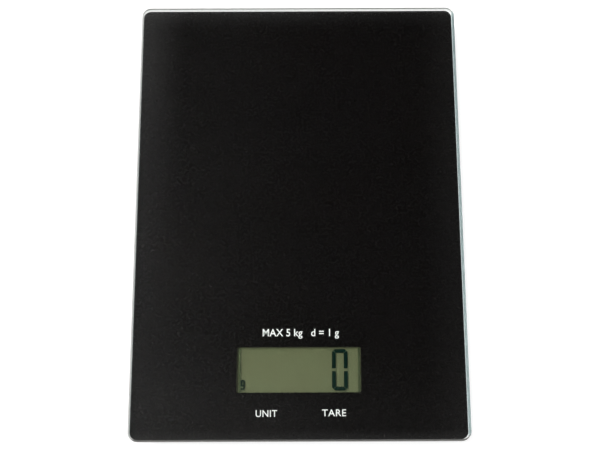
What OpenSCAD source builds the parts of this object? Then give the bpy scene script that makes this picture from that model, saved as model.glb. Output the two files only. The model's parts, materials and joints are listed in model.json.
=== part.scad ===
// Slim electronic kitchen scale: a black-printed glass platform bonded to a shallow
// two-part casing that stands on four load-sensing feet.
// Millimetres, +Z up, +Y to the rear, +X to the right. The origin is on the table,
// under the centre of the glass.

/* [Platform] */
// Width of the glass
plate_w = 145; // [143:1:150]
// Length of the glass, front to rear
plate_l = 200; // [198:1:206]
// Thickness of the tempered glass
plate_t = 4; // [3:0.5:6]
// Corner radius of the glass
plate_r = 4; // [3:0.5:8]
// Width of the ground arris along each edge of the glass
arris = 0.6; // [0.3:0.1:1]
// Clear rim between the edge of the black print and the edge of the glass
clear_rim = 0.85; // [0.7:0.05:2]
// Sideways drift of the print on the glass
print_x = -0.25; // [-0.4:0.05:0.4]

/* [Display] */
// Width of the window in the print
window_w = 53.4; // [50:0.2:54]
// Height of the window in the print
window_l = 19.6; // [17:0.2:20]
// Distance from the front edge of the glass to the middle of the window
window_setback = 30.6; // [30.3:0.1:31]
// Distance from the front edge of the glass to the touch keys
key_setback = 11.7; // [11.4:0.1:12]
// Distance of each touch key from the centre line
key_x = 14.8; // [12:0.2:20]

/* [Casing] */
// How far the glass overhangs the casing
overhang = 5; // [4.5:0.1:5.2]
// Height of the casing above the table
ground_gap = 2.5; // [2.3:0.1:2.8]
// Thickness of the casing walls
wall = 1.8; // [1.6:0.1:2]
// Thickness of the casing floor
floor_t = 1.6; // [1.5:0.1:1.7]
// Chamfer around the underside of the casing
belly = 2.2; // [1:0.2:3]

/* [Feet] */
// Diameter of each foot
foot_d = 17; // [16:0.5:18]
// Distance from the casing's sides to the centre of a foot
foot_inset = 17; // [16.8:0.1:17.4]
// Overload travel of a foot
foot_travel = 0.6; // [0.4:0.1:0.8]

/* [Battery] */
// Diameter of the coin cell
cell_d = 20; // [20:0.1:20.2]
// Thickness of the coin cell
cell_t = 3.2; // [3:0.1:3.2]
// Distance from the centre of the scale forward to the coin cell
cell_forward = 18; // [16:0.5:20]

/* [Hidden] */
$fn = 64;

// Heights of the stack, from the table up
split_gap = 0.1;
tape_t = 0.35;
mask_t = 0.2;
bond_t = 0.05;
floor_in = ground_gap + floor_t;
split_z = ground_gap + 3.9;
board_z = ground_gap + 3.1;
board_t = 1;
board_top = board_z + board_t;
load_z = board_top;
load_t = 1.4;
load_top = load_z + load_t;
roof_in = ground_gap + 7.5;
case_top = roof_in + 1.4;
mask_z = case_top + tape_t;
glass_z = mask_z + mask_t + bond_t;

// Plan of the casing
case_w = plate_w - 2 * overhang;
case_l = plate_l - 2 * overhang;
case_r = 9;
lip_t = 1;
lip_gap = 0.15;
lip_z = split_z - 1;

// Feet and load cells, one in each corner
foot_x = case_w / 2 - foot_inset;
foot_y = case_l / 2 - foot_inset;
foot_clear = 0.5;
flange_w = 1.7;
pad_recess = 0.9;
load_w = 26;
load_post = 10.8;
gauge_x = 7.2;
coating_w = 7;
coating_t = 1.2;

// Display stack, centred across the plate
window_y = window_setback - plate_l / 2;
lcd_w = 58;
lcd_l = 27;
lcd_rear_l = 22;
lcd_pane_t = 0.7;
polarizer = [55, 21, 0.2];
seal_w = 52;
seal_band = 0.8;
lcd_front_z = case_top - 0.55;
lcd_rear_z = lcd_front_z - 0.05 - lcd_pane_t;
lcd_frame_wall = 1.5;
frame_w = lcd_w + 0.4 + 2 * lcd_frame_wall;
frame_l = lcd_l + 0.4 + 2 * lcd_frame_wall;
zebra_w = 1.8;

// Circuit board
key_y = key_setback - plate_l / 2;
key_coil_r = 2;
key_wire_r = 0.25;
board_w = 68;
board_front = -case_l / 2 + wall + lip_gap + lip_t + 0.55;
board_back = window_y + frame_l / 2 + 6.6;
board_l = board_back - board_front;
board_screw_at = [[-31, board_front + 2.7], [31, board_front + 2.7],
                  [-7.5, board_back - 3], [7.5, board_back - 3]];

// Fasteners
screw_r = 1.1;
head_r = 2.5;
head_t = 1.6;
cover_screw_at = [for (x = [-1, 1], y = [-57, 0, 57]) [x * (case_w / 2 - 6), y],
                  [-20, case_l / 2 - 6], [20, case_l / 2 - 6]];

// Battery bay, door and coin cell
bay_y = -cell_forward;
hinge_y = bay_y - 18;
latch_y = bay_y + 18;
door_half = 13;
door_t = 1.4;
door_gap = 0.2;
barrel_r = 0.9;
barrel_z = ground_gap + barrel_r;
pin_r = 0.55;
pin_gap = 0.05;
ledge_z = ground_gap + door_t + 0.1;
cell_z = ground_gap + door_t + 0.05;
cup_r = cell_d / 2 + 0.4;
cup_wall = 1.6;
cup_roof = roof_in - 1.4;
clip_z = cell_z + 1.5;
clip_t = 1.3;
contact_end = bay_y - cup_r - 5.6;
latch_w = 9;
latch_l = 7.4;

// Wires
wire_r = 0.5;
wire_pitch = 1.2;
wire_steps = 4;
wire_sides = 8;
run_x = board_w / 2 - 0.8;
run_z = roof_in - 0.7;
gauge_wire_x = -foot_x + gauge_x + coating_w / 2;
gauge_wire_z = load_top + 0.6;
solder_y = board_back - 3.5;
solder_z = board_top + wire_r;
solder_pitch = 2.5 / wire_pitch;

// Each stop of a wire route is [x, y, z, sideways spread in x, spread in y]
front_route = [
    [gauge_wire_x, -foot_y, gauge_wire_z, 0, 1],
    [gauge_wire_x + 2.8, -foot_y, gauge_wire_z + 0.2, 0, 1],
    [-run_x - 1.3, 1.9 - foot_y, run_z - 0.2, -0.75, 0.75],
    [-run_x, 6 - foot_y, run_z, -1, 0],
    [-run_x, board_back - 5, run_z, -1, 0],
    [-run_x + 1.3, board_back - 0.6, run_z, -0.75, 0.75],
    [-run_x + 5, board_back + 1.6, run_z - 0.3, 0.1, 1.1],
    [-run_x + 8.8, board_back + 0.4, run_z - 1.1, 1.3, 1],
    [-run_x + 10.2, board_back - 1.4, solder_z + 0.2, solder_pitch, 0.3],
    [-run_x + 10.2, solder_y, solder_z, solder_pitch, 0]
];
rear_route = [
    [gauge_wire_x, foot_y, gauge_wire_z, 0, 1],
    [gauge_wire_x + 2.8, foot_y, gauge_wire_z + 0.2, 0, 1],
    [-run_x - 1.3, foot_y - 1.9, run_z - 0.2, 0.75, 0.75],
    [-run_x, foot_y - 6, run_z, 1, 0],
    [-run_x, bay_y + 20, run_z, 1, 0],
    [-run_x + 2.2, bay_y - 5, run_z, 1.05, 0.2],
    [-run_x + 9.2, bay_y - 17, run_z, 0.85, 0.6],
    [-run_x + 17, board_back + 6, run_z - 0.8, 0.95, 0.75],
    [-run_x + 19.7, board_back + 1, solder_z + 0.3, solder_pitch, 0.3],
    [-run_x + 19.7, solder_y, solder_z, solder_pitch, 0]
];

// ---- Shared shapes ----

// Rounded rectangle about the origin
module rounded(w, l, r) {
    square([w - 2 * r, l], center = true);
    square([w, l - 2 * r], center = true);
    for (x = [-1, 1], y = [-1, 1])
        translate([x * (w / 2 - r), y * (l / 2 - r)]) circle(r);
}

// Flat slab with rounded corners from height z to z + t
module slab(w, l, r, z, t) {
    translate([0, 0, z]) linear_extrude(t) rounded(w, l, r);
}

// Upright frame: a slab with a smaller slab taken out of it
module ring(w, l, r, z, t, band) {
    difference() {
        slab(w, l, r, z, t);
        slab(w - 2 * band, l - 2 * band, max(r - band, 0.3), z - 1, t + 2);
    }
}

// Section of a plate of half width h between z0 and z1, with chamfers below and above
module chamfered_section(h, z0, z1, below, above) {
    polygon([[below - h, z0], [h - below, z0], [h, z0 + below], [h, z1 - above],
             [h - above, z1], [above - h, z1], [-h, z1 - above], [-h, z0 + below]]);
}

// Plate with rounded corners whose edges are chamfered below and above
module edged_plate(w, l, r, z0, z1, below, above) {
    rotate([90, 0, 0]) linear_extrude(l - 2 * r, center = true)
        chamfered_section(w / 2, z0, z1, below, above);
    rotate([90, 0, 90]) linear_extrude(w - 2 * r, center = true)
        chamfered_section(l / 2, z0, z1, below, above);
    for (x = [-1, 1], y = [-1, 1])
        translate([x * (w / 2 - r), y * (l / 2 - r)]) rotate_extrude()
            polygon([[0, z0], [r - below, z0], [r, z0 + below], [r, z1 - above],
                     [r - above, z1], [0, z1]]);
}

// Everything in one corner is drawn with +X pointing to the middle of the scale
module in_corner(side, end) {
    translate([side * foot_x, end * foot_y]) rotate([0, 0, side < 0 ? 0 : 180]) children();
}

module in_each_corner() {
    for (side = [-1, 1], end = [-1, 1]) in_corner(side, end) children();
}

module post(at, z, r, h) {
    translate([at.x, at.y, z]) cylinder(r = r, h = h);
}

// Direction of a route as it passes stop i
function heading(stops, i) = unit(stops[min(i + 1, len(stops) - 1)] - stops[max(i - 1, 0)]);

// Point at share t of the curve from a to b that leaves along u and arrives along v
function between(a, b, u, v, t) =
    (2 * t * t * t - 3 * t * t + 1) * a + (3 * t * t - 2 * t * t * t) * b
    + (t * t * t - 2 * t * t + t) * u + (t * t * t - t * t) * v;

// Smooth curve through every stop, with n steps in each span
function smooth(stops, n) = [
    for (i = [0 : len(stops) - 2])
        let (a = stops[i], b = stops[i + 1], span = norm(b - a))
        for (k = [0 : n - 1])
            between(a, b, span * heading(stops, i), span * heading(stops, i + 1), k / n),
    stops[len(stops) - 1]
];

function unit(v) = v / norm(v);

// Round tube of radius r along a path
module tube(path, r, sides) {
    last = len(path) - 1;
    rings = [
        for (i = [0 : last])
            let (ahead = unit(path[min(i + 1, last)] - path[max(i - 1, 0)]),
                 across = unit(cross([0, 0, 1], ahead)),
                 over = cross(ahead, across))
            for (k = [0 : sides - 1])
                path[i] + r * (cos(360 * k / sides) * across + sin(360 * k / sides) * over)
    ];
    walls = [
        for (i = [0 : last - 1], k = [0 : sides - 1])
            let (a = i * sides + k, b = i * sides + (k + 1) % sides)
            each [[a, a + sides, b], [b, a + sides, b + sides]]
    ];
    polyhedron(rings, concat(
        [[for (k = [0 : sides - 1]) k]],
        walls,
        [[for (k = [sides - 1 : -1 : 0]) last * sides + k]]));
}

// Screw with a pan head below height z and its shank above, driven by a cross recess
module screw(at, z, head_r, head_t, shank_r, shank_l) {
    translate([at.x, at.y, z]) difference() {
        union() {
            translate([0, 0, -head_t]) cylinder(r1 = head_r - 0.5, r2 = head_r, h = 0.5);
            translate([0, 0, 0.5 - head_t]) cylinder(r = head_r, h = head_t - 0.5);
            cylinder(r = shank_r, h = shank_l - 1);
            translate([0, 0, shank_l - 1]) cylinder(r1 = shank_r, r2 = 0.3, h = 1);
        }
        for (turn = [0, 90]) rotate([0, 0, turn])
            translate([0, 0, -head_t]) cube([head_r * 1.1, head_r * 0.26, head_t], center = true);
    }
}

// ---- Platform ----

module glass_platform() {
    color([0.75, 0.88, 0.85, 0.35])
        edged_plate(plate_w, plate_l, plate_r, glass_z, glass_z + plate_t, arris, arris);
}

module printed_mask() {
    color([0.03, 0.03, 0.03]) translate([print_x, 0]) difference() {
        slab(plate_w - 2 * clear_rim, plate_l - 2 * clear_rim, plate_r - clear_rim, mask_z, mask_t);
        at_window() slab(window_w, window_l, 0.8, mask_z - 1, mask_t + 2);
    }
}

module adhesive_tape() {
    color([0.85, 0.85, 0.83]) difference() {
        ring(case_w - 2, case_l - 2, case_r - 1, case_top, tape_t, 4);
        for (x = [-key_x, key_x]) post([x, key_y], case_top - 1, key_coil_r + 0.6, tape_t + 2);
    }
}

// ---- Casing ----

// L-shaped corner brackets that box in a load cell, with seats that press on its frame
module load_cell_pocket() {
    difference() {
        ring(load_w + 3, load_w + 3, 2, load_z, roof_in - load_z + 0.2, 1.2);
        slab(load_w + 8, 14, 1, load_z - 1, 8);
        slab(14, load_w + 8, 1, load_z - 1, 8);
    }
    for (x = [-1, 1], y = [-1, 1])
        translate([x * 10.8, y * 10.8]) slab(4, 4, 0.6, load_top, roof_in - load_top + 0.2);
}

// Stiffening ribs under the roof, with notches that the rear wires pass through
module chassis_ribs() {
    rib_t = 1.4;
    difference() {
        for (y = [12, 35, 58])
            translate([0, y]) slab(case_w - 2 * wall, 1.2, 0.4, roof_in - rib_t, rib_t + 0.2);
        for (x = [-run_x, run_x])
            translate([x, 35]) slab(5, 60, 0.5, roof_in - rib_t - 1, rib_t + 1);
    }
    for (x = [-22, 22])
        translate([x, 31]) slab(1.2, 118, 0.4, roof_in - rib_t, rib_t + 0.2);
}

module chassis() {
    lip_inset = wall + lip_gap;
    room = 2 * (lip_inset + lip_t);
    color([0.09, 0.09, 0.1]) difference() {
        union() {
            difference() {
                edged_plate(case_w, case_l, case_r, split_z + split_gap, case_top, 0.3, 0.6);
                slab(case_w - room, case_l - room, case_r - room / 2, split_z - 1,
                     roof_in - split_z + 1);
            }
            ring(case_w - 2 * lip_inset, case_l - 2 * lip_inset, case_r - lip_inset,
                 lip_z, split_z - lip_z + 0.5, lip_t);
            chassis_ribs();
            in_each_corner() load_cell_pocket();
            for (at = cover_screw_at) post(at, lip_z, 3.4, roof_in - lip_z + 0.2);
            for (at = board_screw_at) post(at, board_top, 2.5, roof_in - board_top + 0.2);
        }
        at_window() slab(frame_w + 0.5, frame_l + 0.5, 1, board_top, 6);
        for (x = [-key_x, key_x]) post([x, key_y], board_top, key_coil_r + 0.6, 6);
        for (at = cover_screw_at) post(at, lip_z - 1, screw_r, 5.8);
        for (at = board_screw_at) post(at, board_top - 1, 0.9, 4.6);
    }
}

// Raised block around the battery: a ledge over the door and a cup for the coin cell
module battery_bay() {
    translate([0, (hinge_y + latch_y) / 2 + 5])
        slab(2 * door_half + 6, latch_y - hinge_y + 14, 2, floor_in - 0.2, ledge_z - floor_in + 1.4);
    translate([0, bay_y]) post([0, 0], floor_in, cup_r + cup_wall, cup_roof - floor_in + 1);
}

// Everything the battery bay takes out of the cover
module battery_bay_hollows() {
    front = hinge_y - barrel_r - 2 * door_gap;
    back = latch_y + 0.1;
    translate([0, (front + back) / 2])
        slab(2 * (door_half + door_gap), back - front, 0.5, ground_gap - 1, ledge_z - ground_gap + 1);
    translate([0, hinge_y, barrel_z]) rotate([0, 90, 0]) {
        cylinder(r = barrel_r + door_gap, h = 2 * (door_half + door_gap), center = true);
        cylinder(r = pin_r + pin_gap, h = 2 * door_half + 2.8, center = true);
    }
    post([0, bay_y], ground_gap, cup_r, cup_roof - ground_gap);
    // undercut that the latch hooks into, and the thumb scoop beside it
    translate([0, latch_y + 1]) slab(latch_w - 1, 3, 0.4, ground_gap + 0.55, 1.1);
    translate([0, latch_y + 8.2, ground_gap - 13]) sphere(r = 14);
    // slots for the two battery contacts
    translate([-4, bay_y - cup_r - 0.6]) slab(2.4, 5.2, 0.3, cup_roof - 0.6, 0.6);
    translate([4, bay_y - cup_r - 0.4]) slab(2.4, 4.6, 0.3, clip_z - 0.15, clip_t + 0.3);
}

module cover_ribs() {
    for (y = [24, 35, 46]) translate([0, y]) slab(case_w - 2 * wall, 1, 0.4, floor_in - 0.2, 1.2);
    for (x = [-22, 22], y = [-8, 68])
        translate([x, y]) slab(1, 44, 0.4, floor_in - 0.2, 1.2);
}

module bottom_cover() {
    color([0.1, 0.1, 0.11]) difference() {
        union() {
            difference() {
                edged_plate(case_w, case_l, case_r, ground_gap, split_z, belly, 0.3);
                slab(case_w - 2 * wall, case_l - 2 * wall, case_r - wall, floor_in, 4);
            }
            cover_ribs();
            battery_bay();
            for (at = cover_screw_at) post(at, floor_in - 0.2, 4, lip_z - floor_in + 0.1);
            in_each_corner() for (x = [-1, 1], y = [-1, 1])
                post([x * load_post, y * load_post], floor_in - 0.2, 1.6, load_z - floor_in + 0.2);
        }
        battery_bay_hollows();
        in_each_corner() {
            post([0, 0], ground_gap - 1, foot_d / 2 + foot_clear, floor_t + 2);
            post([0, 0], ground_gap - 1, foot_d / 2 + 2.5, 1.3);
        }
        for (at = cover_screw_at) {
            post(at, ground_gap - 1, head_r + 0.2, head_t + 1.2);
            post(at, ground_gap, screw_r + 0.3, 4);
        }
        translate([0, 54]) slab(62, 34, 1.5, ground_gap - 1, 1.15);
    }
}

module cover_screws() {
    color([0.7, 0.7, 0.72]) for (at = cover_screw_at)
        screw(at, ground_gap + head_t + 0.2, head_r, head_t, screw_r - 0.02, 5.6);
}

module rating_label() {
    color([0.8, 0.8, 0.8]) translate([0, 54]) slab(60, 32, 1.2, ground_gap + 0.05, 0.1);
}

// ---- Electronics ----

module circuit_board() {
    color([0.05, 0.3, 0.15]) difference() {
        translate([0, (board_front + board_back) / 2]) slab(board_w, board_l, 1.5, board_z, board_t);
        for (at = board_screw_at) post(at, board_z - 1, 1.2, 4);
    }
}

module board_screws() {
    color([0.7, 0.7, 0.72]) for (at = board_screw_at) screw(at, board_z, 2, 1, 0.88, 4.2);
}

module controller_blob() {
    color([0.05, 0.05, 0.05]) translate([0, window_y, board_z]) mirror([0, 0, 1]) {
        cylinder(r1 = 6, r2 = 5.4, h = 0.5);
        translate([0, 0, 0.5]) cylinder(r1 = 5.4, r2 = 3.2, h = 0.5);
    }
}

// Small chips soldered under the board, each [x, y] from the middle of the window
module chips(places, size) {
    for (at = places)
        translate([at.x, window_y + at.y, board_z - size.z / 2]) cube(size, center = true);
}

module chip_resistors() {
    color([0.1, 0.1, 0.1])
        chips([for (x = [-24 : 4 : -12], y = [-6, 6]) [x, y]], [2, 1.25, 0.5]);
}

module chip_capacitors() {
    color([0.65, 0.5, 0.35])
        chips([for (x = [12 : 5 : 22], y = [-7, 3]) [x, y]], [2, 1.25, 0.9]);
}

module clock_crystal() {
    color([0.75, 0.75, 0.77]) translate([17, window_y + 10, board_z - 0.65])
        rotate([0, 90, 0]) cylinder(r = 0.65, h = 5, center = true);
}

module at_window() {
    translate([0, window_y]) children();
}

module lcd_frame() {
    color([0.85, 0.85, 0.85]) at_window() {
        ring(frame_w, frame_l, 1.4, board_top, case_top - 0.1 - board_top, lcd_frame_wall);
        for (y = [-1, 1]) translate([0, y * lcd_rear_l / 2])
            slab(lcd_w + 0.8, 0.7, 0.2, board_top, lcd_rear_z - board_top);
    }
}

module zebra_strips() {
    color([0.9, 0.45, 0.6]) at_window() for (y = [-1, 1])
        translate([0, y * (lcd_l / 2 - zebra_w / 2)])
            slab(lcd_w - 4, zebra_w - 0.1, 0.1, board_top, lcd_front_z - board_top);
}

module lcd_reflector() {
    color([0.42, 0.45, 0.33]) at_window()
        slab(polarizer.x, polarizer.y, 0.5, lcd_rear_z - polarizer.z, polarizer.z);
}

module lcd_rear_glass() {
    color([0.7, 0.75, 0.6, 0.5]) at_window() slab(lcd_w, lcd_rear_l, 0.4, lcd_rear_z, lcd_pane_t);
}

module lcd_seal() {
    color([0.25, 0.28, 0.18]) at_window()
        ring(seal_w, lcd_rear_l - 0.6, 1, lcd_front_z - 0.05, 0.05, seal_band);
}

module lcd_front_glass() {
    color([0.7, 0.75, 0.6, 0.5]) at_window() slab(lcd_w, lcd_l, 0.4, lcd_front_z, lcd_pane_t - 0.05);
}

module lcd_front_polarizer() {
    color([0.5, 0.55, 0.4, 0.5]) at_window()
        slab(polarizer.x, polarizer.y, 0.5, lcd_front_z + lcd_pane_t - 0.05, polarizer.z);
}

module window_gasket() {
    color([0.1, 0.1, 0.1]) at_window()
        ring(lcd_w, lcd_l, 0.6, lcd_front_z + lcd_pane_t - 0.05,
             mask_z - lcd_front_z - lcd_pane_t + 0.05, 1.3);
}

// Compression spring that carries the touch of a finger from the glass to the board
module touch_spring(x) {
    turns = 6;
    steps = 20;
    // the first and last turns lie nearly flat, and the climb is between them
    flat_rise = 2.1 * key_wire_r;
    bottom = board_top + key_wire_r;
    climb = mask_z - key_wire_r - bottom - 2 * flat_rise;
    path = [for (i = [0 : turns * steps])
        let (turn = i / steps)
        [x + key_coil_r * cos(360 * turn), key_y + key_coil_r * sin(360 * turn),
         bottom + flat_rise * (min(turn, 1) + max(turn - turns + 1, 0))
         + climb * min(max(turn - 1, 0) / (turns - 2), 1)]];
    color([0.8, 0.6, 0.3]) tube(path, key_wire_r, 6);
}

// ---- Load cells ----

// Stamped steel plate: a square frame with a tongue that hangs from one side by a narrow beam
module load_cell(side, end) {
    color([0.72, 0.72, 0.74]) in_corner(side, end) translate([0, 0, load_z]) linear_extrude(load_t)
        difference() {
            rounded(load_w, load_w, 3);
            difference() {
                rounded(19, 19, 1.2);
                translate([-0.5, 0]) rounded(12, 12.6, 1.5);
                translate([7.5, 0]) square([7, 5.6], center = true);
            }
        }
}

module strain_gauges() {
    color([0.75, 0.5, 0.15]) in_each_corner()
        translate([gauge_x, 0, load_top + 0.1]) cube([4.4, 4, 0.2], center = true);
}

module gauge_coatings() {
    color([0.92, 0.92, 0.9]) in_each_corner() difference() {
        translate([gauge_x, 0]) slab(coating_w, coating_w - 0.6, 1.2, load_top, coating_t);
        translate([gauge_x, 0, load_top]) cube([4.4, 4, 0.4], center = true);
    }
}

// One of the three wires of each load cell: place is -1, 0 or 1 across the trio
module gauge_wires(place) {
    for (side = [0, 1], route = [front_route, rear_route]) mirror([side, 0, 0]) {
        shift = place * wire_pitch;
        stops = [for (p = route) [p.x + shift * p[3], p.y + shift * p[4], p.z]];
        tube(smooth(stops, wire_steps), wire_r, wire_sides);
    }
}

module wires_red() {
    color([0.7, 0.05, 0.05]) gauge_wires(-1);
}

module wires_white() {
    color([0.9, 0.9, 0.88]) gauge_wires(0);
}

module wires_black() {
    color([0.05, 0.05, 0.05]) gauge_wires(1);
}

// ---- Battery ----

module battery_lead(side, from_z) {
    stops = [[side * 4, contact_end, from_z], [side * 4, contact_end - 3, from_z - 0.1],
             [side * 3.2, contact_end - 8.4, 7.8], [side * 2.6, solder_y + 3, solder_z + 0.3],
             [side * 2.5, solder_y, solder_z]];
    tube(smooth(stops, wire_steps), wire_r, wire_sides);
}

module battery_lead_red() {
    color([0.7, 0.05, 0.05]) battery_lead(1, clip_z + clip_t / 2);
}

module battery_lead_black() {
    color([0.05, 0.05, 0.05]) battery_lead(-1, cup_roof - 0.15);
}

// Leaf spring that presses on the small face of the cell
module contact_negative() {
    leaf = 0.25;
    top = cup_roof - leaf;
    cap_z = cell_z + cell_t;
    color([0.8, 0.8, 0.8]) translate([-4, 0]) rotate([90, 0, 90]) linear_extrude(2, center = true)
        polygon([[contact_end, top], [contact_end, top + leaf], [bay_y - 7, top + leaf],
                 [bay_y - 1, cap_z + leaf + 0.03], [bay_y + 1.5, cap_z + leaf + 0.03],
                 [bay_y + 3, cap_z + leaf + 0.5], [bay_y + 3.2, cap_z + 0.3],
                 [bay_y + 1.6, cap_z + 0.03], [bay_y - 1.1, cap_z + 0.03], [bay_y - 7.1, top]]);
}

// Clip that touches the rim of the cell, with a tab out to its lead
module contact_positive() {
    clip_r = cell_d / 2 + 0.05;
    clip_y = -sqrt(clip_r * clip_r - 16) - 0.15;
    tab_end = contact_end - bay_y;
    color([0.8, 0.8, 0.8]) translate([0, bay_y, clip_z]) linear_extrude(clip_t) {
        intersection() {
            difference() {
                circle(clip_r + 0.25);
                circle(clip_r);
            }
            polygon([[0, 0], [3, -15], [8, -15]]);
        }
        translate([4, (clip_y + tab_end) / 2]) square([0.3, clip_y - tab_end], center = true);
    }
}

// The cell's own profile, turned about its axis
module cell_turning(profile) {
    translate([0, bay_y, cell_z]) rotate_extrude() polygon(profile);
}

module cell_can() {
    r = cell_d / 2;
    color([0.78, 0.78, 0.8]) cell_turning([
        [0, 0], [r - 0.4, 0], [r, 0.4], [r, cell_t - 0.7], [r - 0.4, cell_t - 0.3],
        [r - 0.9, cell_t - 0.3], [r - 0.9, 0.5], [0, 0.5]]);
}

module cell_gasket() {
    r = cell_d / 2 - 0.9;
    color([0.15, 0.15, 0.15]) cell_turning([
        [r - 0.5, 0.5], [r, 0.5], [r, cell_t - 0.3], [r - 0.5, cell_t - 0.3]]);
}

module cell_cap() {
    r = cell_d / 2 - 1.4;
    color([0.78, 0.78, 0.8]) cell_turning([
        [0, 0.5], [r, 0.5], [r, cell_t - 0.4], [r - 0.4, cell_t], [0, cell_t]]);
}

module battery_door() {
    back = latch_y - 0.1;
    color([0.1, 0.1, 0.11]) difference() {
        union() {
            translate([0, (hinge_y + back) / 2])
                slab(2 * door_half, back - hinge_y, 0.3, ground_gap, door_t);
            translate([0, hinge_y, barrel_z]) rotate([0, 90, 0]) {
                cylinder(r = barrel_r, h = 2 * door_half, center = true);
                cylinder(r = pin_r, h = 2 * door_half + 2.4, center = true);
            }
        }
        translate([0, back - latch_l / 2 + 0.5])
            slab(latch_w + 1, latch_l + 1, 0.3, ground_gap - 1, door_t + 2);
    }
}

// Springy tongue moulded on the door, with a finger ridge and the hook that holds the door shut
module door_latch() {
    back = latch_y - 0.1;
    root = back - latch_l;
    color([0.1, 0.1, 0.11]) translate([0, 0, ground_gap]) {
        translate([0, (root + back) / 2]) slab(latch_w, latch_l, 0.3, 0.1, door_t - 0.2);
        translate([0, back]) slab(latch_w - 2, 1.6, 0.2, 0.7, 0.6);
        for (y = [2.2, 3.4, 4.6]) translate([0, root + y]) slab(latch_w - 2.5, 0.5, 0.2, -0.1, 0.3);
    }
}

// ---- Feet ----

module foot(side, end) {
    r = foot_d / 2;
    base = pad_recess + 0.1;
    top = floor_in + 1.2;
    color([0.12, 0.12, 0.13]) in_corner(side, end) rotate_extrude() polygon([
        [0, base + pad_recess], [r - 0.9, base + pad_recess], [r - 0.9, base], [r - 0.4, base],
        [r, base + 0.4], [r, floor_in + 0.2], [r + flange_w, floor_in + 0.2],
        [r + flange_w, top], [4.6, top], [3.6, load_z - 0.3], [2.6, load_z], [0, load_z]]);
}

module foot_pad(side, end) {
    r = foot_d / 2 - 1;
    top = 2 * pad_recess + 0.1;
    color([0.2, 0.2, 0.2]) in_corner(side, end) rotate_extrude() polygon([
        [0, 0], [3.6, 0], [3.9, 0.3], [4.5, 0.3], [4.8, 0], [r - 0.6, 0],
        [r, 0.6], [r, top], [0, top]]);
}

// ---- Assembly ----

glass_platform();
printed_mask();
adhesive_tape();
window_gasket();
chassis();
bottom_cover();
cover_screws();
rating_label();
circuit_board();
board_screws();
controller_blob();
chip_resistors();
chip_capacitors();
clock_crystal();
lcd_frame();
lcd_front_polarizer();
lcd_front_glass();
lcd_seal();
lcd_rear_glass();
lcd_reflector();
zebra_strips();
touch_spring(-key_x);  // touch_spring_unit
touch_spring(key_x);  // touch_spring_tare
load_cell(-1, -1);  // load_cell_front_left
load_cell(1, -1);  // load_cell_front_right
load_cell(-1, 1);  // load_cell_rear_left
load_cell(1, 1);  // load_cell_rear_right
strain_gauges();
gauge_coatings();
wires_red();
wires_white();
wires_black();
battery_lead_red();
battery_lead_black();
contact_negative();
contact_positive();
foot(-1, -1);  // foot_front_left
foot(1, -1);  // foot_front_right
foot(-1, 1);  // foot_rear_left
foot(1, 1);  // foot_rear_right
foot_pad(-1, -1);  // foot_pad_front_left
foot_pad(1, -1);  // foot_pad_front_right
foot_pad(-1, 1);  // foot_pad_rear_left
foot_pad(1, 1);  // foot_pad_rear_right
battery_door();
door_latch();
cell_can();
cell_gasket();
cell_cap();
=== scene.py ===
"""Looks of the kitchen scale: materials, lettering, display, light and camera, in metres."""
import json
import math

import bmesh
import bpy
from mathutils import Matrix, Vector


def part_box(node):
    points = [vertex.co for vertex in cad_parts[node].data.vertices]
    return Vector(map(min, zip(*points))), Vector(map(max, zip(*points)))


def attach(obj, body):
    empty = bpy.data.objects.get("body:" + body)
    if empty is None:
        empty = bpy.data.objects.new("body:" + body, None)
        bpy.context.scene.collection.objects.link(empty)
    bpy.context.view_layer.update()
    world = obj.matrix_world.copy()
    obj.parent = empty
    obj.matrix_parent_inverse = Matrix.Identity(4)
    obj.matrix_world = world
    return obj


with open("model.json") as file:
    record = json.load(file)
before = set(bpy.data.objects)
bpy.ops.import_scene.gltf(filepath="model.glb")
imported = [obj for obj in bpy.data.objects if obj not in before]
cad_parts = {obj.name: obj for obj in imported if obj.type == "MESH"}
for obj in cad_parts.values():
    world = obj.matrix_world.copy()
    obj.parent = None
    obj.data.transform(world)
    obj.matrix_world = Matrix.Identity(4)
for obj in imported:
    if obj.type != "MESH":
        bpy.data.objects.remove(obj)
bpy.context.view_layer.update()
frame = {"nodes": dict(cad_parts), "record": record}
nodes = frame["nodes"]
scene = bpy.context.scene
MM = 0.001


# ---- Node materials ----

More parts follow.
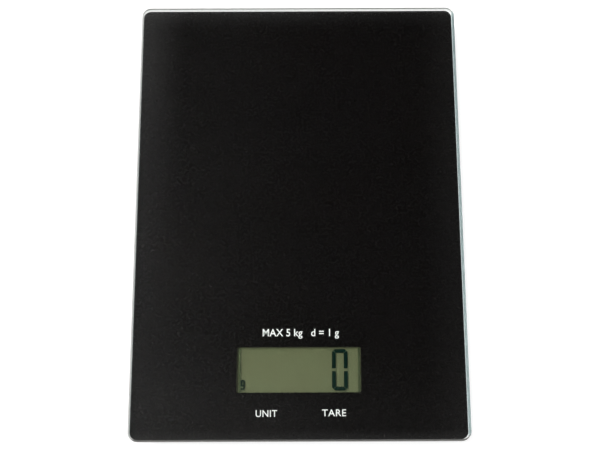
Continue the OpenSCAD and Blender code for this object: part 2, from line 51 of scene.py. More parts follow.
class Graph:
    """One node material. Sockets are named by keyword, with _ for a space in their names."""

    def __init__(self, name, colour, **sockets):
        self.material = bpy.data.materials.new(name)
        self.material.use_nodes = True
        self.tree = self.material.node_tree
        self.tree.nodes.clear()
        self.shader = self.node("BsdfPrincipled", Base_Color=(*colour, 1), **sockets)
        self.output = self.node("OutputMaterial", Surface=self.shader.outputs[0])
        self.place = self.node("TexCoord").outputs["Object"]
        self.colour = (*colour, 1)
        self.normal = None

    def node(self, kind, options=(), **sockets):
        """A new shader node. Its options are set by name, its sockets set or linked."""
        made = self.tree.nodes.new("ShaderNode" + kind)
        for key, value in dict(options).items():
            setattr(made, key, value)
        for key, value in sockets.items():
            self.put(made.inputs[key.replace("_", " ")], value)
        return made

    def put(self, socket, value):
        """Links an input to another node's output, or gives it a plain value."""
        if isinstance(value, bpy.types.NodeSocket):
            self.tree.links.new(value, socket)
        else:
            socket.default_value = value

    def math(self, operation, *values):
        """The result of one sum on numbers or sockets."""
        made = self.node("Math", {"operation": operation})
        for socket, value in zip(made.inputs, values):
            self.put(socket, value)
        return made.outputs[0]

    def mapped(self, stretch=(1, 1, 1), move=(0, 0, 0)):
        """Where a point is, with each axis multiplied and then moved."""
        return self.node("Mapping", Vector=self.place, Scale=stretch, Location=move).outputs[0]

    def along(self, axis):
        """A point's place along X, Y or Z."""
        return self.node("SeparateXYZ", Vector=self.place).outputs[axis]

    def noise(self, size, detail=2.0, roughness=0.5, stretch=None, where=None):
        """Noise from 0 to 1, with blotches about size millimetres across."""
        where = where or (self.mapped(stretch) if stretch else self.place)
        return self.node("TexNoise", Vector=where, Scale=1 / (size * MM), Detail=detail,
                         Roughness=roughness).outputs[0]

    def cells(self, size):
        """Distance from the middles of scattered cells about size millimetres apart."""
        return self.node("TexVoronoi", Vector=self.place, Scale=1 / (size * MM)).outputs[0]

    def stripes(self, pitch, direction="X"):
        """Bands from 0 to 1, pitch millimetres apart."""
        return self.node("TexWave", {"bands_direction": direction}, Vector=self.place,
                         Scale=math.pi / (10 * pitch * MM), Detail=1.0).outputs[1]

    def spread(self, value, low, high, to_low=0.0, to_high=1.0):
        """Carries low and high to to_low and to_high, and holds values past them there."""
        return self.node("MapRange", Value=value, From_Min=low, From_Max=high,
                         To_Min=to_low, To_Max=to_high).outputs[0]

    def tint(self, share, other, low=0.35, high=0.65, most=1.0):
        """Carries the colour towards another where share goes from low to high."""
        made = self.node("Mix", {"data_type": "RGBA"})
        self.put(made.inputs[0], self.spread(share, low, high, 0.0, most))
        self.put(made.inputs[6], self.colour)
        self.put(made.inputs[7], (*other, 1))
        self.colour = made.outputs[2]
        self.put(self.shader.inputs["Base Color"], self.colour)
        return self

    def vary(self, socket, value, to_low, to_high, low=0.3, high=0.7):
        """Drives one of the shader's inputs between two values."""
        self.put(self.shader.inputs[socket], self.spread(value, low, high, to_low, to_high))
        return self

    def bump(self, height, depth):
        """Relief of up to depth millimetres, on top of any relief before it."""
        made = self.node("Bump", Height=height, Distance=depth * MM, Strength=1.0)
        if self.normal:
            self.put(made.inputs["Normal"], self.normal)
        self.normal = made.outputs[0]
        self.put(self.shader.inputs["Normal"], self.normal)
        return self

    def rounded(self, radius):
        """Catches the light on edges as if they had this radius, in millimetres."""
        self.normal = self.node("Bevel", {"samples": 4}, Radius=radius * MM).outputs[0]
        self.put(self.shader.inputs["Normal"], self.normal)
        return self

    def lets_lamps_through(self, shade):
        """Lamp light and soft bounced light pass straight through, tinted."""
        rays = self.node("LightPath")
        clear = self.node("BsdfTransparent", Color=(*shade, 1))
        mix = self.node("MixShader", Fac=self.math(
            "MAXIMUM", rays.outputs["Is Shadow Ray"], rays.outputs["Is Diffuse Ray"]))
        self.put(mix.inputs[1], self.shader.outputs[0])
        self.put(mix.inputs[2], clear.outputs[0])
        self.put(self.output.inputs["Surface"], mix.outputs[0])
        return self


def moulded(name, colour, light, rough, depth=0.02):
    """Injection-moulded plastic with a spark-eroded skin."""
    g = Graph(name, colour, Roughness=0.5, Specular_IOR_Level=0.45)
    g.rounded(0.18)
    skin = g.noise(0.28, detail=3.0, roughness=0.6)
    g.tint(g.noise(9.0, detail=4.0), light, most=0.6)
    g.tint(g.noise(0.45, detail=2.0), light, low=0.55, high=0.8, most=0.35)
    g.vary("Roughness", g.noise(5.0, detail=5.0), rough - 0.07, rough + 0.08)
    return g.bump(skin, depth).bump(g.noise(22.0, detail=1.0), 0.05)


def metal(name, colour, rough, brush=(1, 1, 1), shade=None):
    """Plated or bare metal. Its fine scratches run along the axis that brush shrinks."""
    g = Graph(name, colour, Metallic=1.0, Roughness=rough)
    g.rounded(0.08)
    lines = g.noise(0.09, detail=3.0, stretch=brush)
    g.tint(g.noise(3.0, detail=4.0), shade or tuple(0.8 * c for c in colour), most=0.7)
    g.tint(lines, tuple(0.85 * c for c in colour), low=0.5, high=0.75, most=0.5)
    g.vary("Roughness", lines, rough - 0.06, rough + 0.1)
    return g.bump(lines, 0.004).bump(g.noise(1.4, detail=3.0), 0.006)


def rubber(name, colour, light):
    """Dull moulded rubber with a dusty bloom."""
    g = Graph(name, colour, Roughness=0.75, Specular_IOR_Level=0.35)
    g.rounded(0.12)
    g.tint(g.noise(1.6, detail=5.0), light, most=0.7)
    g.tint(g.noise(0.2, detail=2.0), light, low=0.6, high=0.75, most=0.5)
    g.vary("Roughness", g.noise(2.5, detail=3.0), 0.67, 0.85)
    return g.bump(g.noise(0.14, detail=3.0), 0.012).bump(g.noise(4.0), 0.02)


def foam(name, colour, dark):
    """Foam whose cells are cut open."""
    g = Graph(name, colour, Roughness=0.9, Specular_IOR_Level=0.2)
    holes = g.cells(0.22)
    g.tint(holes, dark, low=0.25, high=0.6, most=0.6).tint(g.noise(3.0), dark, most=0.3)
    return g.bump(holes, 0.05).bump(g.noise(0.08, detail=3.0), 0.01)


def vinyl(name, colour, light):
    """Soft insulation with a slight gloss."""
    g = Graph(name, colour, Roughness=0.38, Specular_IOR_Level=0.5)
    g.tint(g.noise(2.0, detail=3.0), light, most=0.5)
    g.vary("Roughness", g.noise(0.8, detail=3.0), 0.32, 0.5)
    return g.bump(g.noise(0.35, detail=3.0), 0.01)


def ceramic(name, colour, first, period):
    """Chips with a tinned cap at each end, every period millimetres from first on."""
    cap = 0.66  # from the chip's middle to its cap, in millimetres
    g = Graph(name, colour, Roughness=0.45)
    offset = g.math("SUBTRACT", g.along(0), (first - period / 2) * MM)
    from_edge = g.math("PINGPONG", offset, period / 2 * MM)
    cap_share = g.spread(from_edge, (period / 2 - cap) * MM, (period / 2 - cap - 0.02) * MM)
    g.tint(g.noise(0.25, detail=3.0), tuple(1.5 * c for c in colour), most=0.5)
    g.tint(cap_share, (0.62, 0.62, 0.6), low=0.0, high=1.0)
    g.put(g.shader.inputs["Metallic"], cap_share)
    g.vary("Roughness", g.noise(0.3, detail=3.0), 0.3, 0.5)
    return g.bump(g.noise(0.1, detail=3.0), 0.008)


def clear_glass():
    """Float glass. Past the print's edge at −Y and +Y, and at +X, the rim carries painted shade:
    grey at −Y and +Y, a darker teal at +X, standing in for the shaded floor seen through it.
    """
    g = Graph("clear_glass", (0.972, 0.988, 0.982), Roughness=0.0, IOR=1.52,
              Transmission_Weight=1.0)
    g.tint(g.noise(60.0, detail=2.0), (0.968, 0.985, 0.979))
    inside, outside = -0.2 * MM, 0.1 * MM  # the tint starts and is full, past the print's edge
    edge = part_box("printed_mask")[1]
    painted_shade_ends = g.spread(g.math("ABSOLUTE", g.along(1)), edge.y + inside, edge.y + outside)
    painted_shade_right = g.spread(g.along(0), edge.x + inside, edge.x + outside)
    # Painted shade: past the print's edge the rim is darkened to grey at −Y and +Y and to a darker
    # teal at the +X side
    g.tint(painted_shade_ends, (0.71, 0.695, 0.68), low=0.0, high=1.0)
    g.tint(painted_shade_right, (0.32, 0.41, 0.42), low=0.0, high=1.0)
    g.bump(g.noise(55.0, detail=1.0), 0.0008).bump(g.noise(0.6, detail=4.0), 0.00002)
    return g.lets_lamps_through((0.94, 0.958, 0.952))


def ground_edge():
    """Ground sides and arrises of the glass, with painted shade: much darker along the edge at −Y
    and a darker green along the edge at +X, for light falling from the left and the rear.
    """
    g = Graph("ground_glass_edge_with_painted_shade", (0.84, 0.83, 0.81), Roughness=0.32, IOR=1.5,
              Transmission_Weight=0.6)
    wheel = g.noise(0.12, detail=3.0, stretch=(1, 1, 0.12))
    g.tint(wheel, (0.74, 0.76, 0.74), most=0.6)
    g.tint(g.noise(2.5, detail=4.0), (0.87, 0.88, 0.86), most=0.6)
    least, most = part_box("glass_platform")
    painted_shade_front = g.spread(g.along(1), least.y + 1.6 * MM, least.y + 0.6 * MM)
    painted_shade_right = g.spread(g.along(0), most.x - 1.2 * MM, most.x - 0.4 * MM)
    # Painted shade: the edge at −Y is darkened nearly to dark grey and the edge at +X to a darker
    # green
    g.tint(painted_shade_front, (0.22, 0.215, 0.205), low=0.0, high=1.0, most=0.95)
    g.tint(painted_shade_right, (0.3, 0.45, 0.46), low=0.0, high=1.0, most=0.9)
    g.vary("Roughness", g.noise(0.5, detail=3.0), 0.26, 0.4)
    g.bump(wheel, 0.008).bump(g.noise(1.5, detail=2.0), 0.01)
    return g.lets_lamps_through((0.7, 0.8, 0.78))


def black_print():
    """Opaque ink fired on the back of the glass, nearly even."""
    g = Graph("black_print", (0.0016, 0.0011, 0.001), Roughness=0.22, Specular_IOR_Level=0.08)
    g.tint(g.noise(0.5, detail=4.0), (0.0022, 0.0016, 0.0014))
    g.tint(g.noise(40.0, detail=2.0), (0.0019, 0.0015, 0.0015), most=0.6)
    g.vary("Roughness", g.noise(1.2, detail=4.0), 0.24, 0.3)
    return g.bump(g.noise(0.5, detail=2.0), 0.0002)


def pane(name, colour, shade):
    """A clear layer of the display. Lamp light that passes through is multiplied by shade."""
    g = Graph(name, colour, Roughness=0.0, IOR=1.5, Transmission_Weight=1.0)
    g.tint(g.noise(12.0, detail=2.0), tuple(0.99 * c for c in colour))
    g.bump(g.noise(9.0, detail=1.0), 0.0003)
    return g.lets_lamps_through(shade)


def olive_reflector():
    """The display's ground: a diffuse reflector with a faint brushed grain along it."""
    g = Graph("olive_reflector", (0.288, 0.255, 0.196), Roughness=0.55, Specular_IOR_Level=0.2)
    g.tint(g.noise(0.12, detail=3.0), (0.262, 0.232, 0.176), most=0.8)
    g.tint(g.noise(0.5, detail=3.0, stretch=(1, 0.06, 1)), (0.3, 0.261, 0.208), most=0.5)
    g.tint(g.noise(14.0, detail=2.0), (0.275, 0.252, 0.195), most=0.7)
    g.vary("Roughness", g.noise(0.3, detail=3.0), 0.48, 0.62)
    return g.bump(g.noise(0.1, detail=2.0), 0.004)


def circuit_mask():
    """Solder mask over copper: tracks stand proud, pads are tinned, the weave shows faintly."""
    g = Graph("green_board", (0.012, 0.1, 0.04), Roughness=0.3, Coat_Weight=0.3,
              Coat_Roughness=0.12)
    tracks = g.node("TexBrick", {"offset": 0.37, "squash": 1.7, "squash_frequency": 3},
                    Vector=g.place, Color1=(0, 0, 0, 1), Color2=(0.1, 0.1, 0.1, 1),
                    Mortar=(1, 1, 1, 1), Scale=1.0, Mortar_Size=0.16 * MM, Mortar_Smooth=0.1,
                    Brick_Width=5.2 * MM, Row_Height=1.9 * MM).outputs[0]
    g.tint(g.noise(5.0, detail=3.0), (0.016, 0.13, 0.052), most=0.7)
    g.tint(tracks, (0.03, 0.22, 0.085), low=0.3, high=0.8)
    pads = g.cells(4.3)
    ring = g.spread(pads, 0.1, 0.085)
    g.tint(ring, (0.66, 0.62, 0.5), low=0.0, high=1.0)
    g.put(g.shader.inputs["Metallic"], ring)
    g.vary("Roughness", g.noise(1.0, detail=4.0), 0.24, 0.4)
    weave = g.math("ADD", g.stripes(0.45, "X"), g.stripes(0.45, "Y"))
    return g.bump(tracks, 0.03).bump(weave, 0.004)


def zebra():
    """Silicone rubber in thin layers, conductive and not by turns."""
    g = Graph("zebra_rubber", (0.62, 0.3, 0.36), Roughness=0.7)
    layers = g.stripes(0.18)
    g.tint(layers, (0.03, 0.02, 0.02), low=0.45, high=0.6)
    g.tint(g.noise(1.5, detail=3.0), (0.7, 0.4, 0.45), most=0.3)
    return g.bump(layers, 0.01).bump(g.noise(0.2, detail=2.0), 0.008)


def gauge_foil():
    """A foil grid on amber film."""
    g = Graph("gauge_foil", (0.5, 0.25, 0.05), Roughness=0.3, Coat_Weight=0.5, Coat_Roughness=0.1)
    grid = g.spread(g.stripes(0.32, "Y"), 0.5, 0.62)
    g.tint(grid, (0.75, 0.6, 0.4), low=0.0, high=1.0, most=0.9)
    g.tint(g.noise(0.8, detail=3.0), (0.4, 0.2, 0.04), most=0.4)
    g.vary("Metallic", grid, 0.0, 0.9, low=0.0, high=1.0)
    g.vary("Roughness", g.noise(0.5, detail=3.0), 0.25, 0.4)
    return g.bump(grid, 0.006)


def silicone():
    """Sealant poured over the gauges."""
    g = Graph("white_silicone", (0.82, 0.82, 0.79), Roughness=0.35, Subsurface_Weight=0.2,
              Subsurface_Scale=0.001, Subsurface_Radius=(1, 0.9, 0.7))
    g.rounded(0.4)
    g.tint(g.noise(1.5, detail=3.0), (0.72, 0.72, 0.68), most=0.6)
    g.vary("Roughness", g.noise(1.0, detail=3.0), 0.28, 0.45)
    return g.bump(g.noise(1.8, detail=3.0), 0.12).bump(g.noise(0.3, detail=2.0), 0.01)


def spun_steel():
    """Drawn steel with the fine rings of its pressing, about the cell's own axis."""
    g = metal("cell_steel", (0.66, 0.67, 0.69), 0.24, shade=(0.56, 0.57, 0.6))
    low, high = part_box("cell_can")
    middle = (low + high) / 2
    flat = g.node("VectorMath", {"operation": "MULTIPLY"})
    g.put(flat.inputs[0], g.mapped(move=(-middle.x, -middle.y, 0)))
    g.put(flat.inputs[1], (1, 1, 0))
    radius = g.node("VectorMath", {"operation": "LENGTH"})
    g.put(radius.inputs[0], flat.outputs[0])
    line = g.node("CombineXYZ", X=radius.outputs["Value"]).outputs[0]
    rings = g.noise(0.25, detail=4.0, where=line)
    g.tint(rings, (0.52, 0.53, 0.55), low=0.45, high=0.7, most=0.5)
    g.vary("Roughness", rings, 0.18, 0.34)
    return g.bump(rings, 0.005)


def label_film():
    """Satin silver film with a grain along it."""
    g = Graph("label_film", (0.62, 0.63, 0.64), Roughness=0.35, Metallic=0.5)
    g.tint(g.noise(0.3, detail=3.0, stretch=(0.05, 1, 1)), (0.7, 0.71, 0.72), most=0.7)
    g.tint(g.noise(15.0, detail=3.0), (0.58, 0.59, 0.6), most=0.5)
    g.vary("Roughness", g.noise(1.0, detail=4.0), 0.3, 0.44)
    return g.bump(g.noise(0.2, detail=2.0, stretch=(0.1, 1, 1)), 0.002).bump(g.noise(18.0), 0.02)


def epoxy():
    """The drop that covers the chip."""
    g = Graph("black_epoxy", (0.012, 0.012, 0.013), Roughness=0.14, Coat_Weight=0.4)
    g.rounded(0.5)
    g.tint(g.noise(1.5, detail=4.0), (0.022, 0.021, 0.02), most=0.7)
    g.vary("Roughness", g.noise(2.0, detail=3.0), 0.1, 0.24)
    return g.bump(g.noise(3.5, detail=2.0), 0.15).bump(g.noise(0.4, detail=2.0), 0.008)


def seal():
    """The line of epoxy around the display's panes."""
    g = Graph("dark_olive_seal", (0.05, 0.06, 0.027), Roughness=0.5)
    g.tint(g.noise(0.3, detail=3.0), (0.062, 0.072, 0.034), most=0.8)
    g.vary("Roughness", g.noise(0.3), 0.44, 0.56)
    return g.bump(g.noise(0.15, detail=2.0), 0.004)


def ink(name, colour, other, specular=0.4):
    """Printed or etched marks: nearly even, with a faint mottle."""
    g = Graph(name, colour, Roughness=0.5, Specular_IOR_Level=specular)
    g.tint(g.noise(0.4, detail=3.0), other, most=0.8)
    g.vary("Roughness", g.noise(0.3, detail=2.0), 0.45, 0.58)
    return g.bump(g.noise(0.12, detail=2.0), 0.003)


finish = {
    "clear_glass": clear_glass(),
    "black_print": black_print(),
    "foam_tape": foam("foam_tape", (0.7, 0.7, 0.66), (0.5, 0.5, 0.46)),
    "black_foam": foam("black_foam", (0.02, 0.02, 0.02), (0.006, 0.006, 0.006)),
    "black_casing": moulded("black_casing", (0.026, 0.026, 0.028), (0.036, 0.036, 0.038), 0.5),
    "zinc_steel": metal("zinc_steel", (0.62, 0.63, 0.64), 0.28, shade=(0.5, 0.52, 0.56)),
    "label_film": label_film(),
    "green_board": circuit_mask(),
    "black_epoxy": epoxy(),
    "resistor_black": ceramic("resistor_black", (0.02, 0.02, 0.022), -24, 4),
    "capacitor_tan": ceramic("capacitor_tan", (0.42, 0.28, 0.16), 12, 5),
    "crystal_can": metal("crystal_can", (0.7, 0.7, 0.72), 0.2, brush=(0.1, 1, 1)),
    "white_frame": moulded("white_frame", (0.74, 0.74, 0.71), (0.8, 0.8, 0.78), 0.42, depth=0.008),
    "lcd_glass": pane("lcd_glass", (0.985, 0.995, 0.985), (0.96, 0.98, 0.965)),
    "polarizer_film": pane("polarizer_film", (0.86, 0.89, 0.8), (0.86, 0.89, 0.8)),
    "olive_reflector": olive_reflector(),
    "dark_olive_seal": seal(),
    "zebra_rubber": zebra(),
    "gold_spring": metal("gold_spring", (0.83, 0.6, 0.26), 0.2, shade=(0.7, 0.48, 0.2)),
    "load_cell_steel": metal("load_cell_steel", (0.56, 0.57, 0.58), 0.3, brush=(1, 0.06, 1)),
    "gauge_foil": gauge_foil(),
    "white_silicone": silicone(),
    "red_wire": vinyl("red_wire", (0.45, 0.015, 0.012), (0.56, 0.03, 0.02)),
    "white_wire": vinyl("white_wire", (0.74, 0.74, 0.7), (0.8, 0.8, 0.78)),
    "black_wire": vinyl("black_wire", (0.014, 0.014, 0.015), (0.024, 0.024, 0.025)),
    "nickel_contact": metal("nickel_contact", (0.66, 0.64, 0.6), 0.22, brush=(1, 0.08, 1)),
    "pad_rubber": rubber("pad_rubber", (0.04, 0.04, 0.042), (0.06, 0.06, 0.062)),
    "cell_steel": spun_steel(),
    "cell_nylon": moulded("cell_nylon", (0.06, 0.06, 0.062), (0.09, 0.09, 0.09), 0.5, depth=0.006),
}
for subpart in frame["record"]["subparts"]:
    mesh = nodes[subpart["node"]].data
    mesh.materials.clear()
    mesh.materials.append(finish[subpart["material_slot"]].material)

# The ground sides and arrises of the glass, all but its level faces, have a finish of their own
LEVEL = 0.95
glass = nodes["glass_platform"].data
glass.materials.append(ground_edge().material)
for polygon in glass.polygons:
    polygon.material_index = int(abs(polygon.normal.z) < LEVEL)

# Panes that touch are drawn in by a hair, so that no two clear faces lie in one plane
HAIR = 0.004 * MM
for name in ("lcd_front_polarizer", "lcd_front_glass", "lcd_rear_glass", "lcd_reflector"):
    gap = nodes[name].modifiers.new("hair_gap", "DISPLACE")
    gap.mid_level = 0.0
    gap.strength = -HAIR


# ---- Added pieces ----

def add_piece(name, mesh, material, body):
    """Places a mesh in the scene with a finish and a body to ride on."""
    piece = bpy.data.objects.new(name, mesh)
    scene.collection.objects.link(piece)
    mesh.materials.clear()
    mesh.materials.append(material)
    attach(piece, body)


def prisms(name, outlines, low, high):
    """A mesh of upright prisms over closed outlines, from height low to height high."""
    bm = bmesh.new()
    for outline in outlines:
        rings = [[bm.verts.new((x, y, z)) for x, y in outline] for z in (low, high)]
        bm.faces.new(reversed(rings[0]))
        bm.faces.new(rings[1])
        for i in range(len(outline)):
            j = (i + 1) % len(outline)
            bm.faces.new((rings[0][i], rings[0][j], rings[1][j], rings[1][i]))
    bmesh.ops.recalc_face_normals(bm, faces=bm.faces)
    mesh = bpy.data.meshes.new(name)
    bm.to_mesh(mesh)
    bm.free()
    return mesh


def words(name, text, centre, width, height, low, high, bold, spacing=1.0, from_below=False):
    """Lettering as a thin solid that fills width by height, to be read from above or below."""
    curve = bpy.data.curves.new(name, "FONT")
    curve.body = text
    curve.extrude = 0.5
    curve.offset = bold
    curve.space_character = spacing
    curve.resolution_u = 6
    carrier = bpy.data.objects.new(name + "_curve", curve)
    scene.collection.objects.link(carrier)
    bpy.context.view_layer.update()
    shaped = carrier.evaluated_get(bpy.context.evaluated_depsgraph_get())
    mesh = bpy.data.meshes.new_from_object(shaped)
    bpy.data.objects.remove(carrier)
    mesh.name = name
    points = [v.co for v in mesh.vertices]
    least = Vector([min(p[i] for p in points) for i in range(3)])
    most = Vector([max(p[i] for p in points) for i in range(3)])
    side = -1 if from_below else 1
    size = (side * width / (most.x - least.x), height / (most.y - least.y), side * (high - low))
    to_centre = Matrix.Translation(-(least + most) / 2)
    mesh.transform(Matrix.Translation((centre[0], centre[1], (low + high) / 2))
                   @ Matrix.Diagonal((*size, 1)) @ to_centre)
    bm = bmesh.new()
    bm.from_mesh(mesh)
    bmesh.ops.remove_doubles(bm, verts=bm.verts, dist=1e-7)
    bmesh.ops.recalc_face_normals(bm, faces=bm.faces)
    bm.to_mesh(mesh)
    bm.free()
    return mesh


# Legends printed on the back of the glass, in the gap between it and the black print.
# Name, text, middle, width, height, boldness and letter spacing.
LEGENDS = [
    ("legend_unit", "UNIT", (-0.01405, -0.08812), 0.00915, 0.0029, 0.006, 1.06),
    ("legend_tare", "TARE", (0.01472, -0.0879), 0.01025, 0.0029, 0.006, 1.06),
    ("capacity_line", "MAX 5 kg   d = 1 g", (0.0007, -0.0538), 0.033, 0.0043, 0.012, 1.02),
]
legend_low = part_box("printed_mask")[1].z + 0.006 * MM
legend_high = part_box("glass_platform")[0].z - 0.014 * MM
white_ink = ink("white_ink", (0.95, 0.94, 0.935), (0.9, 0.89, 0.885)).material
for name, text, middle, width, height, bold, spacing in LEGENDS:
    mesh = words(name, text, middle, width, height, legend_low, legend_high, bold, spacing)
    add_piece(name, mesh, white_ink, "housing")

# Lit segments, between the display's two panes
SEGMENT_GAP = 0.008 * MM
segment_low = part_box("lcd_rear_glass")[1].z + SEGMENT_GAP
segment_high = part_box("lcd_front_glass")[0].z - SEGMENT_GAP


def placed(outlines, middle, scale=1.0):
    """Outlines scaled and then moved to a middle."""
    return [[(middle.x + x * scale, middle.y + y * scale) for x, y in outline]
            for outline in outlines]


def seven_segment_zero(width, height, stroke, corner, mitre, waist):
    """Outlines of the six lit segments of a 0: mitred at its corners, parted at its waist."""
    w, h = width / 2, height / 2
    outer = corner / 2
    nick_out, nick_in = 0.1, 0.2  # corners cut off at the waist
    flat = [(-w + outer + mitre, h - outer + mitre), (-w + corner, h), (w - corner, h),
            (w - outer - mitre, h - outer + mitre), (w - stroke - 2 * mitre, h - stroke),
            (-w + stroke + 2 * mitre, h - stroke)]
    upright = [(-w + outer - mitre, h - outer - mitre), (-w, h - corner),
               (-w, waist / 2 + nick_out), (-w + nick_out, waist / 2),
               (-w + stroke - nick_in, waist / 2), (-w + stroke, waist / 2 + nick_in),
               (-w + stroke, h - stroke - 2 * mitre)]
    shapes = [[(x, y * f) for x, y in flat] for f in (1, -1)]
    return shapes + [[(x * e, y * f) for x, y in upright] for e in (1, -1) for f in (1, -1)]


def middle_of(name):
    """The middle of a CAD node's box."""
    low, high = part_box(name)
    return (low + high) / 2


zero = seven_segment_zero(width=6.78, height=17.9, stroke=1.66, corner=1.3, mitre=0.05, waist=1.2)
gram = [  # a small g: its bowl in four strokes, then its stem and tail
    [(-0.9, 0.0), (-0.2, 0.0), (-0.2, 1.4), (-0.9, 1.4)],
    [(0.25, 0.0), (0.9, 0.0), (0.9, 1.65), (0.25, 1.4)],
    [(-0.9, 1.45), (0.22, 1.45), (0.86, 1.7), (0.6, 2.1), (-0.7, 2.1)],
    [(-0.7, -0.65), (0.9, -0.65), (0.9, -0.05), (-0.9, -0.05)],
    [(0.25, -1.4), (0.9, -1.4), (0.9, -0.7), (0.25, -0.7)],
    [(-0.9, -2.1), (0.6, -2.1), (0.9, -1.45), (-0.9, -1.45)]]
display_ink = ink("display_ink", (0.0002, 0.0165, 0.017), (0.0006, 0.021, 0.0205),
                  specular=0.05).material
display_middle = middle_of("lcd_seal")
for name, strokes, x, y in [("display_zero", zero, 17.4, 0.05),
                            ("display_gram_sign", gram, -24.25, -6.35)]:
    lit = placed(strokes, display_middle + Vector((x, y, 0)) * MM, MM)
    mesh = prisms(name, lit, segment_low, segment_high)
    add_piece(name, mesh, display_ink, "housing")

# Printed border and generic lettering on the label, read from below
LABEL_MARGIN, LINE = 2 * MM, 0.3 * MM
TITLE_RULE = (3.1 * MM, 3.3 * MM)  # a thin line under the title, from the label's middle up
LABEL_TEXT = [  # name, text, height up the label, width and height of the lettering, in millimetres
    ("label_title", "KITCHEN SCALE", 8.0, 38, 3.6),
    ("label_capacity", "MAX 5 kg / 11 lb    d = 1 g", 0.2, 44, 2.9),
    ("label_supply", "1 x 3 V button cell", -4.8, 30, 3.0),
    ("label_units", "Units: g, ml, oz", -9.6, 26, 2.9),
]
label_low, label_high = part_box("rating_label")
label_middle = middle_of("rating_label")
label_ink = ink("label_ink", (0.02, 0.02, 0.022), (0.03, 0.03, 0.03)).material
label_heights = (label_low.z - 0.02 * MM, label_low.z + 0.002 * MM)


def bar(x0, x1, y0, y1):
    """Outline of an upright rectangle."""
    return [(x0, y0), (x1, y0), (x1, y1), (x0, y1)]


edge_x = (label_high.x - label_low.x) / 2 - LABEL_MARGIN
edge_y = (label_high.y - label_low.y) / 2 - LABEL_MARGIN
lines = [bar(-edge_x, edge_x, s * edge_y - LINE / 2, s * edge_y + LINE / 2) for s in (-1, 1)]
lines += [bar(s * edge_x - LINE / 2, s * edge_x + LINE / 2, -edge_y + LINE / 2, edge_y - LINE / 2)
          for s in (-1, 1)]
lines.append(bar(-edge_x + LABEL_MARGIN, edge_x - LABEL_MARGIN, *TITLE_RULE))
add_piece("label_lines", prisms("label_lines", placed(lines, label_middle), *label_heights),
          label_ink, "housing")
for name, text, up, width, height in LABEL_TEXT:
    mesh = words(name, text, (label_middle.x, label_middle.y + up * MM), width * MM, height * MM,
                 *label_heights, bold=0.006, from_below=True)
    add_piece(name, mesh, label_ink, "housing")

# Raised arrow on the battery door, pointing to its latch
ARROW_HEAD, ARROW_STEM = (2.6, 4.4), (0.8, 4.6)  # half width and length, in millimetres
ARROW_ROOT = 2.55 * MM  # inside the door's skin
neck = Vector((0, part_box("door_latch")[0].y - 9.5 * MM))
head = [(-ARROW_HEAD[0], 0), (ARROW_HEAD[0], 0), (0, ARROW_HEAD[1])]
stem = bar(-ARROW_STEM[0], ARROW_STEM[0], -ARROW_STEM[1], 0)
arrow_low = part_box("battery_door")[0].z - 0.18 * MM
add_piece("door_arrow", prisms("door_arrow", placed([head, stem], neck, MM), arrow_low, ARROW_ROOT),
          finish["black_casing"].material, "battery_door")

# Plus sign stamped on the coin cell
ARM, HALF = 2.4, 0.4  # length and half width of its arms, in millimetres
plus = [(-ARM, -HALF), (-HALF, -HALF), (-HALF, -ARM), (HALF, -ARM), (HALF, -HALF), (ARM, -HALF),
        (ARM, HALF), (HALF, HALF), (HALF, ARM), (-HALF, ARM), (-HALF, HALF), (-ARM, HALF)]
cell_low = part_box("cell_can")[0].z
plus_sign = prisms("cell_plus_sign", placed([plus], middle_of("cell_can"), MM),
                   cell_low - 0.03 * MM, cell_low + 0.01 * MM)
add_piece("cell_plus_sign", plus_sign, finish["cell_steel"].material, "coin_cell")


# ---- Floor, light and camera ----

def make_floor(radius, height):
    """A pale table that glows softly, like a light table. It can't be seen from below."""
    bm = bmesh.new()
    bmesh.ops.create_circle(bm, cap_ends=True, segments=96, radius=radius)
    mesh = bpy.data.meshes.new("floor")
    bm.to_mesh(mesh)
    bm.free()
    floor = bpy.data.objects.new("floor", mesh)
    scene.collection.objects.link(floor)
    floor.location.z = height
    g = Graph("pale_floor", (0.36, 0.36, 0.36), Roughness=0.6, Specular_IOR_Level=0.2,
              Emission_Color=(1, 1, 1, 1), Emission_Strength=0.82)
    g.tint(g.noise(300.0, detail=2.0), (0.38, 0.38, 0.38))
    below = g.node("NewGeometry").outputs["Backfacing"]
    mix = g.node("MixShader", Fac=below)
    g.put(mix.inputs[1], g.shader.outputs[0])
    g.put(mix.inputs[2], g.node("BsdfTransparent").outputs[0])
    g.put(g.output.inputs["Surface"], mix.outputs[0])
    mesh.materials.append(g.material)


make_floor(radius=3.0, height=-0.02 * MM)

world = bpy.data.worlds.new("studio")
scene.world = world
world.use_nodes = True
sky = world.node_tree
sky.nodes.clear()


def sky_node(kind, *values, **options):
    """A new node of the sky, with its inputs set or linked in order."""
    made = sky.nodes.new("ShaderNode" + kind)
    for key, value in options.items():
        setattr(made, key, value)
    for socket, value in zip(made.inputs, values):
        if isinstance(value, bpy.types.NodeSocket):
            sky.links.new(value, socket)
        else:
            socket.default_value = value
    return made


def sky_math(operation, *values):
    """The result of one sum on numbers or sockets of the sky."""
    return sky_node("Math", *values, operation=operation).outputs[0]


def product(*values):
    """All the values multiplied."""
    result = values[0]
    for value in values[1:]:
        result = sky_math("MULTIPLY", result, value)
    return result


def total(*values):
    """All the values added."""
    result = values[0]
    for value in values[1:]:
        result = sky_math("ADD", result, value)
    return result


def step(value, low, high, to_low=0.0, to_high=1.0):
    """Goes smoothly from to_low to to_high as value goes from low to high."""
    return sky_node("MapRange", value, low, high, to_low, to_high,
                    interpolation_type="SMOOTHSTEP").outputs[0]


x, y, z = sky_node("SeparateXYZ", sky_node("TexCoord").outputs["Generated"]).outputs[:3]

# Slopes of a sky direction: how far it leans to the right and to the rear as it rises
LEAST_RISE = 0.02
rise = sky_math("MAXIMUM", z, LEAST_RISE)
across = sky_math("DIVIDE", x, rise)
back = sky_math("DIVIDE", y, rise)
leftward = product(across, -1.0)

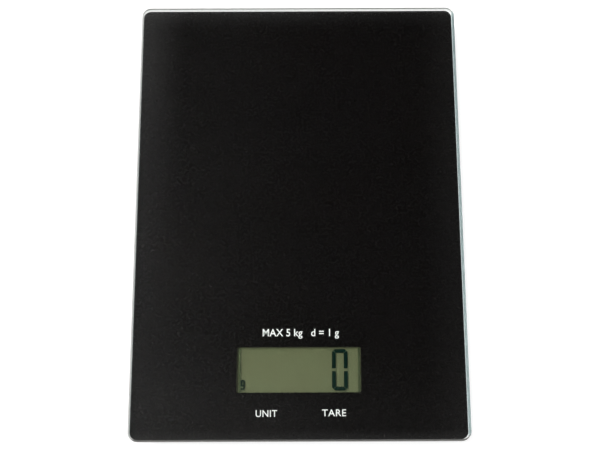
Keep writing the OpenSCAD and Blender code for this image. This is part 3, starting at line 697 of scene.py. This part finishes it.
# A dark panel hangs where the level plate mirrors it to the camera
panel_share = product(step(sky_math("ABSOLUTE", across), 0.36, 0.2), step(back, -0.1, 0.05),
                      step(back, 0.85, 0.62), step(z, 0.3, 0.5))

# Soft glows on the panel: on its left, most of all to the rear, and on its right, front and rear
PANEL_BASE = 0.004
left_glow = product(step(leftward, 0.1, 0.155, 0.0, 0.12), step(back, 0.3, 0.48, 1.0, 2.6),
                    step(back, 0.1, 0.3, 0.2, 1.0))
right_glow = step(across, 0.1, 0.15, 0.0, 0.07)
front_glow = product(step(back, 0.2, 0.1, 0.0, 0.065), step(leftward, -0.06, 0.02, 0.55, 1.0))
front_edge_glow = step(back, 0.113, 0.103, 0.0, 0.12)
rear_glow = product(step(back, 0.472, 0.5, 0.0, 0.2), step(leftward, -0.08, 0.04, 0.5, 1.0))
wide_glow = step(leftward, -0.02, 0.06, 0.0, 0.009)
panel = total(PANEL_BASE, left_glow, right_glow, front_glow, front_edge_glow, rear_glow, wide_glow)

# Pale walls around it, brighter at the left and the rear. They are dim low down, where the plate
# would mirror them in a low view, and pale again at the horizon.
WALL_LEVEL, TO_RIGHT, TO_REAR = 0.85, -0.3, 0.4
wall = total(product(x, TO_RIGHT), product(y, TO_REAR), WALL_LEVEL)
wall = product(wall, total(step(z, 0.12, 0.03, 0.0, 0.5), step(z, 0.45, 0.75, 0.35, 1.0)))
level = total(product(panel, panel_share), product(wall, sky_math("SUBTRACT", 1.0, panel_share)))
shine = sky_node("Background", (1.0, 0.995, 0.99, 1), level)
sky_node("OutputWorld", shine.outputs[0])

# A soft lamp from the left and the rear
LAMP_FROM = Vector((-0.45, 0.15, 0.88))
lamp = bpy.data.objects.new("key_light", bpy.data.lights.new("key_light", "SUN"))
lamp.data.energy = 2.4
lamp.data.angle = math.radians(24)
lamp.data.color = (1.0, 0.985, 0.965)
lamp.rotation_euler = LAMP_FROM.to_track_quat("Z", "Y").to_euler()
scene.collection.objects.link(lamp)

# The camera looks down from in front of the scale
CAMERA_PLACE, CAMERA_TILT, CAMERA_ROLL = (0.0005, -0.1523, 0.5253), 16.07, -0.2
camera = bpy.data.objects.new("camera", bpy.data.cameras.new("camera"))
scene.collection.objects.link(camera)
camera.data.lens = 72
camera.data.sensor_width = 36
camera.data.clip_start = 0.01
camera.data.clip_end = 20
camera.matrix_world = (Matrix.Translation(CAMERA_PLACE)
                       @ Matrix.Rotation(math.radians(CAMERA_TILT), 4, "X")
                       @ Matrix.Rotation(math.radians(CAMERA_ROLL), 4, "Z"))
scene.camera = camera

scene.view_settings.view_transform = "Standard"
# The layers of glass need many bounces
scene.cycles.max_bounces = 16
scene.cycles.transmission_bounces = 16
scene.cycles.transparent_max_bounces = 32

bpy.context.view_layer.update()
